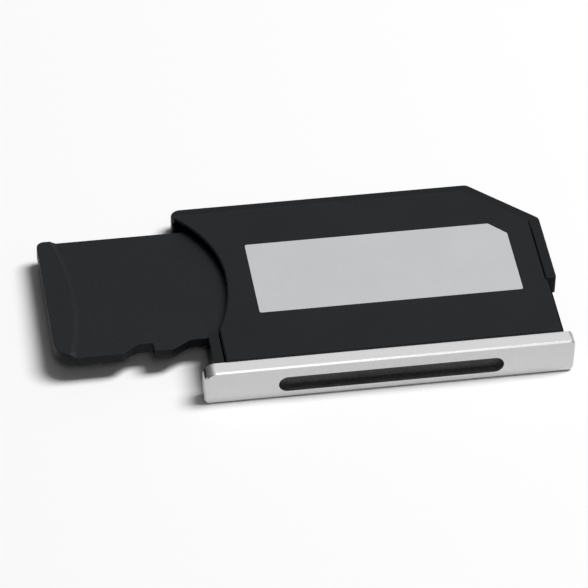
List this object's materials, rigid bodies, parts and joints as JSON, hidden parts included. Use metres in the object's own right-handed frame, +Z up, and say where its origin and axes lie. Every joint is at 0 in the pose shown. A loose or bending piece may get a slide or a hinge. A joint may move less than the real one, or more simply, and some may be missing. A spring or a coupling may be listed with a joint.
{
  "type": "memory card adapter",
  "caption": "Flat adapter that takes a small memory card in a side slot and fits a full-size card socket, with a metal grip cap on its front end.",
  "frame": {"origin": "middle of the body's flat underside, half way across its width and half way from the end cap's seat to the contact edge", "axes": "+X along the end cap, from the card mouth to the side rail; +Y from the end cap to the contact edge; +Z up through the label face"},
  "size_m": [0.0331, 0.0164, 0.0027],
  "materials": {
    "shell_plastic": "fine matt moulding",
    "cover_plastic": "fine matt moulding",
    "cap_metal": "satin anodised",
    "label_film": "matt printed film, silver grey",
    "board": "solder resist over glass laminate",
    "card_plastic": "fine matt moulding",
    "contact_gold": "gold plated",
    "spring_gold": "gold plated",
    "pad_gold": "gold plated"
  },
  "bodies": {
    "adapter": {"lower_shell": "shell_plastic", "upper_cover": "cover_plastic", "end_cap": "cap_metal", "label": "label_film", "circuit_board": "board", "sd_contact_1": "contact_gold", "sd_contact_2": "contact_gold", "sd_contact_3": "contact_gold", "sd_contact_4": "contact_gold", "sd_contact_5": "contact_gold", "sd_contact_6": "contact_gold", "sd_contact_7": "contact_gold", "sd_contact_8": "contact_gold", "sd_contact_9": "contact_gold", "spring_contact_1": "spring_gold", "spring_contact_2": "spring_gold", "spring_contact_3": "spring_gold", "spring_contact_4": "spring_gold", "spring_contact_5": "spring_gold", "spring_contact_6": "spring_gold", "spring_contact_7": "spring_gold", "spring_contact_8": "spring_gold"},
    "card": {"card_body": "card_plastic", "card_pad_1": "pad_gold", "card_pad_2": "pad_gold", "card_pad_3": "pad_gold", "card_pad_4": "pad_gold", "card_pad_5": "pad_gold", "card_pad_6": "pad_gold", "card_pad_7": "pad_gold", "card_pad_8": "pad_gold"}
  },
  "joints": [
    {"name": "card_slide", "type": "slide", "parent": "adapter", "child": "card", "axis": [1, 0, 0], "range_m": [-0.005, 0.00835]}
  ]
}
